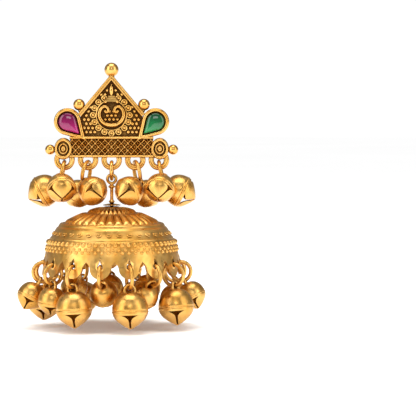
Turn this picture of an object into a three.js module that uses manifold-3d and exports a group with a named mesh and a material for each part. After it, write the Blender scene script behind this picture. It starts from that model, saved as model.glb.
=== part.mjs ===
// A jhumka earring: a house-shaped plaque with two stones, a row of little bells on jump rings,
// and a hollow dome that hangs from the plaque on a link and carries its own fringe of bells.
// Millimetres. +X runs across the plaque, +Y runs back through the ear, +Z is up.
// The origin is where the ear post leaves the flat back of the plaque.

import * as THREE from "three";
import { mergeVertices } from "three/addons/utils/BufferGeometryUtils.js";
import Module from "manifold-3d";

const wasm = await Module();
wasm.setup();

// ---------------------------------------------------------------- driving dimensions

const PLAQUE = {
  thick: 1.2, houseHalf: 6.9, eavesZ: 0.3, apexZ: 8.5,
  bandHalf: 9.2, bandTopZ: -5.0, bandFootZ: -9.0,
  railWide: 0.8, railThick: 1.6,
};
const BALLS = [
  { x: 0, z: 10.13, radius: 1.56 },
  { x: 7.2, z: 2.38, radius: 1.3 },
  { x: -7.2, z: 2.38, radius: 1.3 },
];
const PEAR = { x: 9.78, z: -1.38, radius: 2.15, tipX: 6.87, tipZ: -4.36, rim: 0.85, thick: 1.7 };
const STONE = { gap: 0.22, seat: 0.6, high: 1.3 };
const ROUNDEL = { x: 10.7, z: -7.4, halfWide: 2.0, halfTall: 2.42, thick: 1.7 };
const KNOB = { x: 13.65, z: -7.6, radius: 1.13, neck: 0.5 };
const POST = { radius: 0.45, length: 11 };
const LOOP = { pitch: 5.24, z: -9.9, outer: 2.3, inner: 1.08, y: -0.7 };

const LINK = { outer: 2.3, wire: 0.42 };
const STEM = { eye: 0.95, wire: 0.33, shaft: 0.38, collar: 0.75, cap: 1.9 };
const DOME = { crownZ: -20.2, wall: 0.7, holes: 15, firstHole: -7, stemHole: 0.6 };
const LOBE = {
  radius: 2.35, footZ: -15.1, archTopZ: -11.5,
  holeTopZ: -10.75, holeFootZ: -13.1, holeWide: 1.35, holeRadius: 15.25,
};
const GAP = 0.2;

// Outside of the dome from the crown down: radius, then height below the crown.
const DOME_OUTSIDE = [
  [4, -0.4], [7, -1.55], [9, -2.45], [10.8, -3.4], [12, -4.3], [12.9, -5.8], [13.6, -6.9],
  [14.25, -8.0], [14.8, -10.3], [15.2, -12.4], [15.6, -15.1],
];

// A bell of seam radius 1: radius, then height above the seam.
const BELL_OUTLINE = [
  [0, -0.92], [0.32, -0.75], [0.79, -0.37], [0.93, -0.17], [1, 0], [0.975, 0.22],
  [0.89, 0.59], [0.78, 0.76], [0.6, 0.94], [0.37, 1.06], [0, 1.06],
];
const EYE = { radius: 1.16, wire: 0.28, lift: 0.48, play: 0.18 };
const RING_WIRE = 0.42;
const RING_LIFT = 0.3;

// Jump rings of the upper row: which loop, radius, lean sideways and turn forward, in degrees.
const UPPER_RINGS = [
  { name: "jump_ring_a", loop: -2, radius: 2.35, lean: -12, turn: 0 },
  { name: "jump_ring_b", loop: -1, radius: 2.6, lean: -9, turn: -15 },
  { name: "jump_ring_d", loop: 1, radius: 2.6, lean: 9, turn: 15 },
  { name: "jump_ring_e", loop: 2, radius: 2.35, lean: 12, turn: 0 },
];

// Bells of the upper row: the ring, how far round the ring from its foot the bell hooks on, and
// the way the bell's tip points (x across, y back, z up), then its seam radius.
const UPPER_BELLS = [
  { name: "bell_a1", ring: 0, round: -8, tip: [-0.9, 0.04, -0.47], radius: 3.65 },
  { name: "bell_a2", ring: 0, round: 62, tip: [0.1, -0.78, -0.62], radius: 3.3 },
  { name: "bell_b1", ring: 1, round: -36, tip: [-0.6, 0.38, -0.69], radius: 3.2 },
  { name: "bell_b2", ring: 1, round: 24, tip: [0.62, -0.68, -0.4], radius: 3.3 },
  { name: "bell_d2", ring: 2, round: 24, tip: [-0.62, -0.68, -0.4], radius: 3.3 },
  { name: "bell_d1", ring: 2, round: -36, tip: [0.6, 0.38, -0.69], radius: 3.2 },
  { name: "bell_e2", ring: 3, round: 62, tip: [-0.1, -0.78, -0.62], radius: 3.3 },
  { name: "bell_e1", ring: 3, round: -8, tip: [0.9, 0.04, -0.47], radius: 3.65 },
];

// Bells of the dome's fringe, in the order of its holes: seam radius, ring radius, the ring's lean
// away from the dome, and how far the tip leans out of the dome and sideways, in degrees.
const LARGE = { radius: 4.0, ring: 2.4 };
const SMALL = { radius: 3.15, ring: 2.15 };
const FRINGE = [
  { ...SMALL, lean: -4, out: -50, side: 0 },
  { ...LARGE, lean: 6, out: 6, side: 0 },
  { ...SMALL, lean: -2, out: -40, side: 0 },
  { ...LARGE, lean: 8, out: 8, side: -6 },
  { ...SMALL, lean: 14, out: 27, side: -8 },
  { ...LARGE, lean: 6, out: 5, side: 3 },
  { ...SMALL, lean: -2, out: -44, side: 0 },
  { ...LARGE, lean: 6, out: 6, side: 0 },
  { ...SMALL, lean: -2, out: -40, side: 0 },
  { ...LARGE, lean: 6, out: 6, side: 0 },
  { ...SMALL, lean: -2, out: -44, side: 0 },
  { ...LARGE, lean: 6, out: 5, side: -3 },
  { ...SMALL, lean: 14, out: 30, side: 6 },
  { ...SMALL, lean: 6, out: 2, side: -6 },
  { ...LARGE, lean: 4, out: 4, side: 6 },
];

// The share of a fringe bell's lean that its eye follows round its ring.
const FOLLOW = 0.75;

// ---------------------------------------------------------------- finishes

const finish = (color, roughness, metalness) =>
  new THREE.MeshStandardMaterial({ color, roughness, metalness });
const antiqueGold = () => finish(0xc8943a, 0.32, 1);
const satinGold = () => finish(0xd9a84e, 0.36, 1);
const ruby = () => finish(0x8a0a4c, 0.08, 0);
const emerald = () => finish(0x04592b, 0.08, 0);

// ---------------------------------------------------------------- solids

const radians = THREE.MathUtils.degToRad;
const vector = (...xyz) => new THREE.Vector3(...xyz);

/** A closed geometry with its shared corners merged, as a solid that can be joined and cut. */
function solid(geometry) {
  geometry.deleteAttribute("normal");
  geometry.deleteAttribute("uv");
  const merged = mergeVertices(geometry, 1e-4);
  const index = merged.index.array;
  const triangles = [];
  for (let i = 0; i < index.length; i += 3) {
    const [a, b, c] = index.slice(i, i + 3);
    if (a !== b && b !== c && c !== a) triangles.push(a, b, c);
  }
  const mesh = new wasm.Mesh({
    numProp: 3,
    vertProperties: Float32Array.from(merged.attributes.position.array),
    triVerts: Uint32Array.from(triangles),
  });
  return new wasm.Manifold(mesh);
}

/** The solid as a named mesh. */
function piece(name, body, material) {
  const { vertProperties, triVerts } = body.getMesh();
  const geometry = new THREE.BufferGeometry();
  geometry.setAttribute("position", new THREE.BufferAttribute(vertProperties, 3));
  geometry.setIndex(new THREE.BufferAttribute(triVerts, 1));
  geometry.computeVertexNormals();
  const mesh = new THREE.Mesh(geometry, material);
  mesh.name = name;
  return mesh;
}

const joined = (bodies) => bodies.reduce((whole, body) => whole.add(body));

/** A profile of [radius, height] points turned about Z. */
function turned(profile, segments) {
  const points = profile.map(([radius, height]) => new THREE.Vector2(radius, height));
  return solid(new THREE.LatheGeometry(points, segments).rotateX(Math.PI / 2));
}

/** A flat outline in X and Z, as thick as asked, from the height `back` along Y towards the front. */
function plate(shape, back, thick, curveSegments = 8) {
  const options = { depth: thick, bevelEnabled: false, curveSegments };
  return solid(new THREE.ExtrudeGeometry(shape, options).rotateX(Math.PI / 2).translate(0, back, 0));
}

function ball(x, y, z, radius) {
  return solid(new THREE.SphereGeometry(radius, 12, 7).rotateX(Math.PI / 2).translate(x, y, z));
}

function outline(points) {
  return new THREE.Shape(points.map(([x, z]) => new THREE.Vector2(x, z)));
}

/** A pear: a circle about the centre with two straight sides that meet at the tip. */
function pearShape(side, grow) {
  const centre = new THREE.Vector2(side * PEAR.x, PEAR.z);
  const tip = new THREE.Vector2(side * PEAR.tipX, PEAR.tipZ);
  const reach = tip.clone().sub(centre);
  const half = Math.acos(PEAR.radius / reach.length());
  const radius = PEAR.radius + grow;
  const point = reach.clone().setLength(radius / Math.cos(half)).add(centre);
  const heading = reach.angle();
  const shape = new THREE.Shape();
  shape.moveTo(point.x, point.y);
  shape.absarc(centre.x, centre.y, radius, heading + half, heading - half + 2 * Math.PI, false);
  shape.closePath();
  return shape;
}

/** A bell standing on Z with its seam at height 0, and its eye above, whose hole runs along Y. */
function bellBody(radius) {
  const shell = turned(BELL_OUTLINE.map(([r, h]) => [r * radius, h * radius]), 10);
  const eye = new THREE.TorusGeometry(EYE.radius, EYE.wire, 5, 9);
  eye.rotateX(Math.PI / 2).translate(0, 0, bellTop(radius) + EYE.lift);
  return shell.add(solid(eye));
}

const bellTop = (radius) => BELL_OUTLINE.at(-1)[1] * radius;

/** From the middle of the ring's wire to the bell's seam. */
function bellDrop(radius) {
  return bellTop(radius) + EYE.lift + EYE.radius - EYE.wire - EYE.play - RING_WIRE;
}

// ---------------------------------------------------------------- the plaque

function houseShape() {
  const { houseHalf, eavesZ, apexZ, bandTopZ } = PLAQUE;
  const foot = bandTopZ - 1;
  return outline([
    [-houseHalf, foot], [houseHalf, foot], [houseHalf, eavesZ], [0, apexZ], [-houseHalf, eavesZ],
  ]);
}

function bandShape() {
  const { bandHalf, bandTopZ, bandFootZ } = PLAQUE;
  return outline([
    [-bandHalf, bandFootZ], [bandHalf, bandFootZ], [bandHalf, bandTopZ], [-bandHalf, bandTopZ],
  ]);
}

/** One of the two bars along the gable. */
function gableRail(side) {
  const { houseHalf, eavesZ, apexZ, railWide, railThick } = PLAQUE;
  const rise = apexZ - eavesZ;
  const length = Math.hypot(houseHalf, rise) + railWide;
  const bar = new THREE.BoxGeometry(length, railThick, railWide);
  bar.rotateY(side * Math.atan2(rise, houseHalf));
  bar.translate((side * houseHalf) / 2, -railThick / 2, (eavesZ + apexZ) / 2);
  return solid(bar);
}

/** A setting: a thick pear rim around a sunk floor. */
function setting(side) {
  const rim = plate(pearShape(side, PEAR.rim), 0, PEAR.thick);
  const well = plate(pearShape(side, 0), -STONE.seat, PEAR.thick);
  return rim.subtract(well);
}

function roundel(side) {
  const shape = new THREE.Shape();
  shape.absellipse(side * ROUNDEL.x, ROUNDEL.z, ROUNDEL.halfWide, ROUNDEL.halfTall, 0, 2 * Math.PI);
  return plate(shape, 0, ROUNDEL.thick, 8);
}

function knob(side) {
  const neck = new THREE.CylinderGeometry(KNOB.neck, KNOB.neck, 1.6, 8);
  neck.rotateZ(Math.PI / 2).translate(side * (KNOB.x - 1.3), LOOP.y, KNOB.z);
  return solid(neck).add(ball(side * KNOB.x, LOOP.y, KNOB.z, KNOB.radius));
}

/** A fixed loop under the plaque, a flattened ring of round section. */
function fixedLoop(x) {
  const wire = (LOOP.outer - LOOP.inner) / 2;
  const ring = new THREE.TorusGeometry(LOOP.inner + wire, wire, 6, 14);
  return solid(ring.scale(1, 1, 0.85).rotateX(Math.PI / 2).translate(x, LOOP.y, LOOP.z));
}

function earPost() {
  const post = new THREE.CylinderGeometry(POST.radius, POST.radius, POST.length + 0.5, 10);
  return solid(post.translate(0, POST.length / 2 - 0.25, 0));
}

function plaque() {
  const sides = [-1, 1];
  const loops = [-2, -1, 0, 1, 2].map((step) => fixedLoop(step * LOOP.pitch));
  const balls = BALLS.map(({ x, z, radius }) => ball(x, LOOP.y, z, radius));
  const struts = [plate(outline([[-0.5, 8], [0.5, 8], [0.5, 9.5], [-0.5, 9.5]]), 0, PLAQUE.thick)];
  return joined([
    plate(houseShape(), 0, PLAQUE.thick),
    plate(bandShape(), 0, PLAQUE.thick),
    ...sides.flatMap((side) => [gableRail(side), setting(side), roundel(side), knob(side)]),
    ...loops, ...balls, ...struts,
    earPost(),
  ]);
}

/** A cabochon: a pear with a domed front, sunk into its setting. */
function stone(side) {
  const low = plate(pearShape(side, -STONE.gap), -STONE.seat - GAP, STONE.high * 0.6);
  const high = plate(pearShape(side, -STONE.gap - 0.6), -STONE.seat - GAP, STONE.high);
  return low.add(high).hull();
}

// ---------------------------------------------------------------- the link and the dome's stem

const loopFootZ = LOOP.z - (LOOP.outer + LOOP.inner) / 2;
const linkZ = LOOP.z - LOOP.inner + GAP - (LINK.outer - 2 * LINK.wire);
const linkFootZ = linkZ - LINK.outer + LINK.wire;
const eyeZ = linkFootZ + LINK.wire + GAP - (STEM.eye - STEM.wire);

function link() {
  const ring = new THREE.TorusGeometry(LINK.outer - LINK.wire, LINK.wire, 8, 20);
  return solid(ring.rotateY(Math.PI / 2).translate(0, LOOP.y, linkZ));
}

/** The eye, its collar bead, the shaft through the crown, the flower cap and the foot below. */
function stem() {
  const eye = new THREE.TorusGeometry(STEM.eye, STEM.wire, 6, 12);
  eye.rotateX(Math.PI / 2).translate(0, 0, eyeZ);
  const top = eyeZ - STEM.eye;
  const crown = DOME.crownZ;
  const shaft = turned([
    [0, top], [STEM.shaft, top], [STEM.shaft, top - 0.4], [STEM.collar, top - 0.75],
    [STEM.shaft, top - 1.2], [STEM.shaft, crown + 0.8], [0.9, crown + 0.55],
    [STEM.cap, crown + 0.3], [STEM.cap, crown + GAP], [STEM.shaft, crown + GAP],
    [STEM.shaft, crown - DOME.wall - GAP], [1.2, crown - DOME.wall - GAP],
    [0.9, crown - DOME.wall - 0.7], [0, crown - DOME.wall - 0.8],
  ].reverse(), 10);
  return solid(eye).add(shaft).translate(0, LOOP.y, 0);
}

// ---------------------------------------------------------------- the dome

/** The dome's wall before its edge is cut, as a closed profile of [radius, height below crown]. */
function domeWall() {
  const inside = DOME_OUTSIDE.map(([radius, height], row) => {
    const before = DOME_OUTSIDE[Math.max(row - 1, 0)];
    const after = DOME_OUTSIDE[Math.min(row + 1, DOME_OUTSIDE.length - 1)];
    const slope = new THREE.Vector2(after[0] - before[0], after[1] - before[1]).normalize();
    return [radius + slope.y * DOME.wall, height - slope.x * DOME.wall];
  });
  const { stemHole, wall } = DOME;
  const profile = [
    [stemHole, 0], [2, -0.05], ...DOME_OUTSIDE, ...inside.reverse(), [stemHole, -wall], [stemHole, 0],
  ];
  return turned(profile.reverse(), 45);
}

/** A prism of outline [across, height] that cuts the wall at azimuth 0, which faces -Y. */
function edgeCutter(shape) {
  const cutter = new THREE.ExtrudeGeometry(shape, { depth: 6, bevelEnabled: false, curveSegments: 3 });
  return solid(cutter.rotateX(Math.PI / 2).translate(0, -12, 0));
}

/** The pointed arch between two lobes: narrow above, and as wide as the gap of the lobes below. */
function archShape() {
  const { archTopZ, footZ, radius } = LOBE;
  const pitch = (2 * Math.PI * 15.6) / DOME.holes;
  const shape = new THREE.Shape();
  const foot = footZ - 0.5;
  shape.moveTo(-pitch / 2, foot);
  shape.lineTo(pitch / 2, foot);
  shape.absarc(pitch / 2, footZ + radius, radius, -Math.PI / 2, -Math.PI, true);
  shape.quadraticCurveTo(0.62, archTopZ - 0.4, 0, archTopZ);
  shape.quadraticCurveTo(-0.62, archTopZ - 0.4, radius - pitch / 2, footZ + radius);
  shape.absarc(-pitch / 2, footZ + radius, radius, 0, -Math.PI / 2, true);
  return shape;
}

/** The teardrop hole for a ring: a point above and a half circle below. */
function holeShape() {
  const { holeTopZ, holeFootZ, holeWide } = LOBE;
  const half = holeWide / 2;
  const shape = new THREE.Shape();
  shape.moveTo(0, holeTopZ);
  shape.lineTo(-half, holeFootZ + half);
  shape.absarc(0, holeFootZ + half, half, -Math.PI, 0, false);
  shape.closePath();
  return shape;
}

const azimuth = (hole) => DOME.firstHole + (hole * 360) / DOME.holes;

function dome() {
  const arch = edgeCutter(archShape());
  const hole = edgeCutter(holeShape());
  const halfPitch = 180 / DOME.holes;
  let body = domeWall();
  for (let i = 0; i < DOME.holes; i += 1) {
    body = body.subtract(hole.rotate([0, 0, azimuth(i)]));
    body = body.subtract(arch.rotate([0, 0, azimuth(i) + halfPitch]));
  }
  return body.translate(0, LOOP.y, DOME.crownZ);
}

// ---------------------------------------------------------------- rings and the bells on them

/** A jump ring given by its middle, the way down to its foot, and the other way in its plane. */
function jumpRing(name, { middle, down, across, radius }) {
  const geometry = new THREE.TorusGeometry(radius, RING_WIRE, 6, 12);
  const turn = new THREE.Matrix4().makeBasis(down, across, down.clone().cross(across));
  geometry.applyMatrix4(turn.setPosition(middle));
  return piece(name, solid(geometry), satinGold());
}

/** A bell hung on a ring, `round` degrees from its foot, with its tip pointing along `tip`. */
function hungBell(name, ring, round, tip, radius) {
  const angle = radians(round);
  const spoke = ring.down.clone().multiplyScalar(Math.cos(angle));
  spoke.addScaledVector(ring.across, Math.sin(angle));
  const hook = ring.middle.clone().addScaledVector(spoke, ring.radius);
  const normal = ring.down.clone().cross(ring.across);
  const wireWay = spoke.clone().cross(normal);
  const up = tip.clone().normalize().negate();
  const holeWay = wireWay.addScaledVector(up, -wireWay.dot(up)).normalize();
  const seam = hook.addScaledVector(up, -bellDrop(radius));
  const mesh = piece(name, bellBody(radius), satinGold());
  const place = new THREE.Matrix4().makeBasis(holeWay.clone().cross(up), holeWay, up).setPosition(seam);
  mesh.applyMatrix4(place);
  return mesh;
}

function upperRow() {
  const rings = UPPER_RINGS.map(({ name, loop, radius, lean, turn }) => {
    const down = vector(Math.sin(radians(lean)), 0, -Math.cos(radians(lean)));
    const forward = vector(Math.sin(radians(turn)), -Math.cos(radians(turn)), 0);
    const across = forward.addScaledVector(down, -forward.dot(down)).normalize();
    const start = vector(loop * LOOP.pitch, LOOP.y, LOOP.z - LOOP.inner + RING_LIFT + RING_WIRE);
    const middle = start.addScaledVector(down, radius);
    return { name, middle, down, across, radius };
  });
  const bells = UPPER_BELLS.map(({ name, ring, round, tip, radius }) =>
    hungBell(name, rings[ring], round, vector(...tip), radius));
  return [...rings.map((ring) => jumpRing(ring.name, ring)), ...bells];
}

function fringe() {
  const holeRadius = LOBE.holeRadius - DOME.wall / 2;
  const holeZ = DOME.crownZ + LOBE.holeFootZ + RING_WIRE + RING_LIFT;
  return FRINGE.flatMap(({ radius, ring, lean, out, side }, i) => {
    const around = radians(azimuth(i));
    const outward = vector(Math.sin(around), -Math.cos(around), 0);
    const sideways = vector(Math.cos(around), Math.sin(around), 0);
    const tilt = radians(lean);
    const down = outward.clone().multiplyScalar(Math.sin(tilt));
    down.z = -Math.cos(tilt);
    const across = outward.clone().addScaledVector(down, -outward.dot(down)).normalize();
    const middle = outward.clone().multiplyScalar(holeRadius).setZ(holeZ);
    middle.y += LOOP.y;
    middle.addScaledVector(down, ring);
    const hoop = { middle, down, across, radius: ring };
    const tip = vector(0, 0, -1).addScaledVector(outward, Math.tan(radians(out)));
    tip.addScaledVector(sideways, Math.tan(radians(side)));
    const number = String(i + 1).padStart(2, "0");
    return [
      jumpRing(`rim_ring_${number}`, hoop),
      hungBell(`rim_bell_${number}`, hoop, out * FOLLOW - lean, tip, radius),
    ];
  });
}

// ---------------------------------------------------------------- the earring

const earring = new THREE.Group();
earring.add(
  piece("plaque", plaque(), antiqueGold()),
  piece("ruby_stone", stone(-1), ruby()),
  piece("emerald_stone", stone(1), emerald()),
  piece("link_ring", link(), satinGold()),
  piece("dome_stem", stem(), antiqueGold()),
  piece("dome", dome(), satinGold()),
  ...upperRow(),
  ...fringe(),
);

export default earring;
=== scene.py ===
"""A jhumka earring in antique gold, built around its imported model."""

import math

import bmesh
import bpy
import numpy as np
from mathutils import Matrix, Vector


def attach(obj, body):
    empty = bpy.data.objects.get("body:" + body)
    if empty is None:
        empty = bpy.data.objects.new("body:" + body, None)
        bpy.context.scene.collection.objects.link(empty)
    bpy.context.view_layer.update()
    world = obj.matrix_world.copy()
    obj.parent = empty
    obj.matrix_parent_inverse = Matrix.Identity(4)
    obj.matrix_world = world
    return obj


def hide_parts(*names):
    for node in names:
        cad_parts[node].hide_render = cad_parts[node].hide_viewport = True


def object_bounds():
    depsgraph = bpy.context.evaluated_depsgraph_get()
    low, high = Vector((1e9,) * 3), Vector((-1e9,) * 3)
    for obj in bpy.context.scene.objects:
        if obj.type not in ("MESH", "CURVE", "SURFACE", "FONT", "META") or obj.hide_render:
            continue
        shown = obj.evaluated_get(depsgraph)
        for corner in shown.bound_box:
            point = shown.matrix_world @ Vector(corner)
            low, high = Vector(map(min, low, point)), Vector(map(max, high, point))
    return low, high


bl_info = {
    "name": "Jhumka earring",
    "version": (1, 0, 0),
    "blender": (4, 5, 0),
    "location": "View3D > Sidebar > Jhumka",
    "description": "Builds a gold jhumka earring with bells, stones and a studio to show it in",
    "category": "Add Mesh",
}

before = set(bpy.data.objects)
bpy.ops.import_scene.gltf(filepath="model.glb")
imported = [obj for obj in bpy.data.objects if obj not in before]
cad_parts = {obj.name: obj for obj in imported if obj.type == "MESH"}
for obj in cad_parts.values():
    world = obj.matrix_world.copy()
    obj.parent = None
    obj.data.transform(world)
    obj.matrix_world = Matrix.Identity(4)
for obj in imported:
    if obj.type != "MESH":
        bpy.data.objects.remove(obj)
CAD_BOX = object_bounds()

MM = 0.001
TURN = 2 * math.pi

# ------------------------------------------------------------------ sizes shared with the frame, in millimetres

LOOP_PITCH, LOOP_Z, LOOP_OUTER, LOOP_INNER, LOOP_Y = 5.24, -9.9, 2.3, 1.08, -0.7
LINK_OUTER, LINK_WIRE = 2.3, 0.42
STEM_EYE, STEM_WIRE, GAP = 0.95, 0.33, 0.2
CROWN_Z, DOME_WALL, HOLES, FIRST_HOLE = -20.2, 0.7, 15, -7.0
RING_WIRE, RING_LIFT = 0.42, 0.3
EYE_RADIUS, EYE_WIRE, EYE_LIFT, EYE_PLAY = 1.16, 0.28, 0.48, 0.18
BELL_TOP = 1.06
HOLE_FOOT_Z, HOLE_TOP_Z, HOLE_WIDE, HOLE_RADIUS = -13.1, -10.75, 1.35, 15.25

HOUSE_HALF, EAVES_Z, APEX_Z, PLATE_THICK, FIELD_THICK = 6.9, 0.3, 8.5, 1.2, 0.8
BAND_HALF, BAND_TOP, BAND_FOOT = 9.2, -5.0, -9.0
PEAR_X, PEAR_Z, PEAR_RADIUS, STONE_GAP = 9.78, -1.38, 2.15, 0.22
PEAR_TIP = (6.87, -4.36)
LINK_Z, EYE_Z = -12.24, -14.12
SKIRT_TOP, HOLE_MIDDLE, DOTS, RIBS = -10.0, -12.2, 36, 32

# The dome's outside from the crown down: radius, then height below the crown.
DOME_OUTSIDE = np.array([
    [0.6, 0], [2, -0.05], [4, -0.4], [7, -1.55], [9, -2.45], [10.8, -3.4], [12, -4.3], [12.9, -5.8],
    [13.6, -6.9], [14.25, -8.0], [14.8, -10.3], [15.2, -12.4], [15.6, -15.1],
])

# Jump rings of the upper row: loop, radius, lean sideways and turn forward, in degrees.
UPPER_RINGS = {
    "jump_ring_a": (-2, 2.35, -12, 0),
    "jump_ring_b": (-1, 2.6, -9, -15),
    "jump_ring_d": (1, 2.6, 9, 15),
    "jump_ring_e": (2, 2.35, 12, 0),
}

# Bells of the upper row: ring, degrees round it from its foot, the tip's heading, seam radius, the
# heading that one petal turns to, and degrees past it.
FRONT, UPWARD = (0, -1, 0), (0, 0, 1)
UPPER_BELLS = {
    "bell_a1": ("jump_ring_a", -8, (-0.9, 0.04, -0.47), 3.65, FRONT, 85),
    "bell_a2": ("jump_ring_a", 62, (0.1, -0.78, -0.62), 3.3, UPWARD, 0),
    "bell_b1": ("jump_ring_b", -36, (-0.6, 0.38, -0.69), 3.2, FRONT, 0),
    "bell_b2": ("jump_ring_b", 24, (0.62, -0.68, -0.4), 3.3, UPWARD, 0),
    "bell_d2": ("jump_ring_d", 24, (-0.62, -0.68, -0.4), 3.3, UPWARD, 0),
    "bell_d1": ("jump_ring_d", -36, (0.6, 0.38, -0.69), 3.2, FRONT, 0),
    "bell_e2": ("jump_ring_e", 62, (-0.1, -0.78, -0.62), 3.3, UPWARD, 0),
    "bell_e1": ("jump_ring_e", -8, (0.9, 0.04, -0.47), 3.65, FRONT, -85),
}

# Bells of the fringe, by hole: seam radius, ring radius, the ring's lean out of the dome, the
# tip's lean outwards and sideways, in degrees. Each has a slit that faces the front.
LARGE, SMALL = (4.0, 2.4), (3.15, 2.15)
FRINGE = [
    (SMALL, -4, -50, 0), (LARGE, 6, 6, 0), (SMALL, -2, -40, 0), (LARGE, 8, 8, -6),
    (SMALL, 14, 27, -8), (LARGE, 6, 5, 3), (SMALL, -2, -44, 0), (LARGE, 6, 6, 0),
    (SMALL, -2, -40, 0), (LARGE, 6, 6, 0), (SMALL, -2, -44, 0), (LARGE, 6, 5, -3),
    (SMALL, 14, 30, 6), (SMALL, 6, 2, -6), (LARGE, 4, 4, 6),
]
FOLLOW = 0.75


# ------------------------------------------------------------------ sizes and colours a user can change


class JHUMKA_sizes(bpy.types.PropertyGroup):
    """Sizes of the relief and the wires."""

    rib_height: bpy.props.FloatProperty(
        name="Rib height", description="How far the ribs of the crown stand up, in millimetres",
        default=0.5, min=0.0, max=1.0)
    bead_radius: bpy.props.FloatProperty(
        name="Bead radius", description="Radius of the beads round the dome, in millimetres",
        default=0.6, min=0.2, max=0.7)
    bead_count: bpy.props.IntProperty(
        name="Beads in a row", description="Number of beads in each row round the dome",
        default=62, min=20, max=80)
    lattice_height: bpy.props.FloatProperty(
        name="Lattice height", description="How far the lattice stands up, in millimetres",
        default=0.42, min=0.0, max=0.6)
    slit_width: bpy.props.FloatProperty(
        name="Bell slit", description="Half the width of a bell's slit as a share of its radius",
        default=0.05, min=0.01, max=0.1)


class JHUMKA_colours(bpy.types.PropertyGroup):
    """Colours of the metal and the stones."""

    gold: bpy.props.FloatVectorProperty(
        name="Gold", description="Colour of the bright gold", subtype="COLOR", size=3,
        default=(0.8, 0.47, 0.135), min=0.0, max=1.0)
    patina: bpy.props.FloatVectorProperty(
        name="Patina", description="Colour of the dark antiquing in the recesses", subtype="COLOR",
        size=3, default=(0.075, 0.028, 0.006), min=0.0, max=1.0)
    ruby: bpy.props.FloatVectorProperty(
        name="Ruby", description="Colour of the left stone", subtype="COLOR", size=3,
        default=(0.11, 0.0, 0.034), min=0.0, max=1.0)
    emerald: bpy.props.FloatVectorProperty(
        name="Emerald", description="Colour of the right stone", subtype="COLOR", size=3,
        default=(0.0, 0.042, 0.012), min=0.0, max=1.0)


# ------------------------------------------------------------------ surfaces


class Heap:
    """Triangles gathered for one piece, in millimetres."""

    def __init__(self):
        self.points = []
        self.triangles = []
        self.count = 0

    def grid(self, points, around=False, along=False):
        """Adds a grid of (rows, columns, 3), or several (copies, rows, columns, 3).

        Each cell becomes two triangles; around joins the last column to the first, along the rows.
        """
        points = points if points.ndim == 4 else points[None]
        copies, rows, columns = points.shape[:3]
        index = np.arange(rows * columns).reshape(rows, columns)
        if around:
            index = np.concatenate([index, index[:, :1]], axis=1)
        if along:
            index = np.concatenate([index, index[:1]], axis=0)
        a, b, c, d = index[:-1, :-1], index[:-1, 1:], index[1:, 1:], index[1:, :-1]
        cells = np.concatenate([np.stack([a, b, c], -1), np.stack([a, c, d], -1)]).reshape(-1, 3)
        offsets = self.count + np.arange(copies) * rows * columns
        self.triangles.append((cells[None] + offsets[:, None, None]).reshape(-1, 3))
        self.points.append(points.reshape(-1, 3))
        self.count += copies * rows * columns

    def slab(self, outer, inner, around=False):
        """Adds two facing grids and the strips that join their edges, as one closed sheet."""
        self.grid(outer, around)
        self.grid(inner, around)
        self.grid(np.stack([outer[0], inner[0]]), around)
        self.grid(np.stack([outer[-1], inner[-1]]), around)
        if not around:
            self.grid(np.stack([outer[:, 0], inner[:, 0]]))
            self.grid(np.stack([outer[:, -1], inner[:, -1]]))

    def moved(self, basis, origin):
        """A copy whose points are turned by the rows of basis and then moved to origin."""
        copy = Heap()
        copy.points = [points @ basis + origin for points in self.points]
        copy.triangles = list(self.triangles)
        copy.count = self.count
        return copy

    def take(self, other):
        """Adds all of another heap."""
        self.points += other.points
        self.triangles += [triangles + self.count for triangles in other.triangles]
        self.count += other.count

    def arrays(self):
        """Points and triangles with shared corners merged and collapsed triangles dropped."""
        points = np.concatenate(self.points)
        triangles = np.concatenate(self.triangles)
        merged, index = np.unique(np.round(points, 4), axis=0, return_inverse=True)
        triangles = index.reshape(-1)[triangles]
        a, b, c = triangles.T
        keep = (a != b) & (b != c) & (c != a)
        return merged, triangles[keep]


def make(name, heap, material, body, replaced=(), sharp=42.0):
    """The heap as a smooth mesh object that rides on a body and stands for the nodes it replaces."""
    points, triangles = heap.arrays()
    mesh = bpy.data.meshes.new(name)
    mesh.from_pydata((points * MM).tolist(), [], triangles.tolist())
    work = bmesh.new()
    work.from_mesh(mesh)
    bmesh.ops.recalc_face_normals(work, faces=work.faces)
    work.to_mesh(mesh)
    work.free()
    mesh.shade_smooth()
    mesh.set_sharp_from_angle(angle=math.radians(sharp))
    mesh.materials.append(material)
    piece = bpy.data.objects.new(name, mesh)
    bpy.context.scene.collection.objects.link(piece)
    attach(piece, body)
    if replaced:
        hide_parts(*replaced)
    return piece


def turned(profile, steps=48):
    """A profile of [radius, height] carried round Z: x = r sin t, y = -r cos t."""
    profile = np.asarray(profile, float)
    angle = np.arange(steps) * TURN / steps
    radius = profile[:, :1]
    height = np.repeat(profile[:, 1:], steps, axis=1)
    return np.stack([radius * np.sin(angle), -radius * np.cos(angle), height], -1)


def smooth_line(points, steps):
    """Points carried along a line of points by a centripetal-free cubic through each of them."""
    points = np.asarray(points, float)
    before = np.vstack([2 * points[:1] - points[1:2], points, 2 * points[-1:] - points[-2:-1]])
    place = np.linspace(0, len(points) - 1, steps)
    cell = np.minimum(place.astype(int), len(points) - 2)
    t = (place - cell)[:, None]
    a, b, c, d = (before[cell + k] for k in range(4))
    return 0.5 * (2 * b + (c - a) * t + (2 * a - 5 * b + 4 * c - d) * t**2 + (3 * b - a - 3 * c + d) * t**3)


def ring(radius, wire, steps=40, sides=12, flat=1.0):
    """A torus in the X-Z plane: a round wire carried round a circle; flat scales it along Y."""
    around = np.arange(steps)[:, None] * TURN / steps
    section = np.arange(sides)[None] * TURN / sides
    out = radius + wire * np.cos(section)
    across = np.broadcast_to(flat * wire * np.sin(section), out.shape) + 0 * around
    return np.stack([out * np.sin(around), across, out * np.cos(around)], -1)


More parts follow.
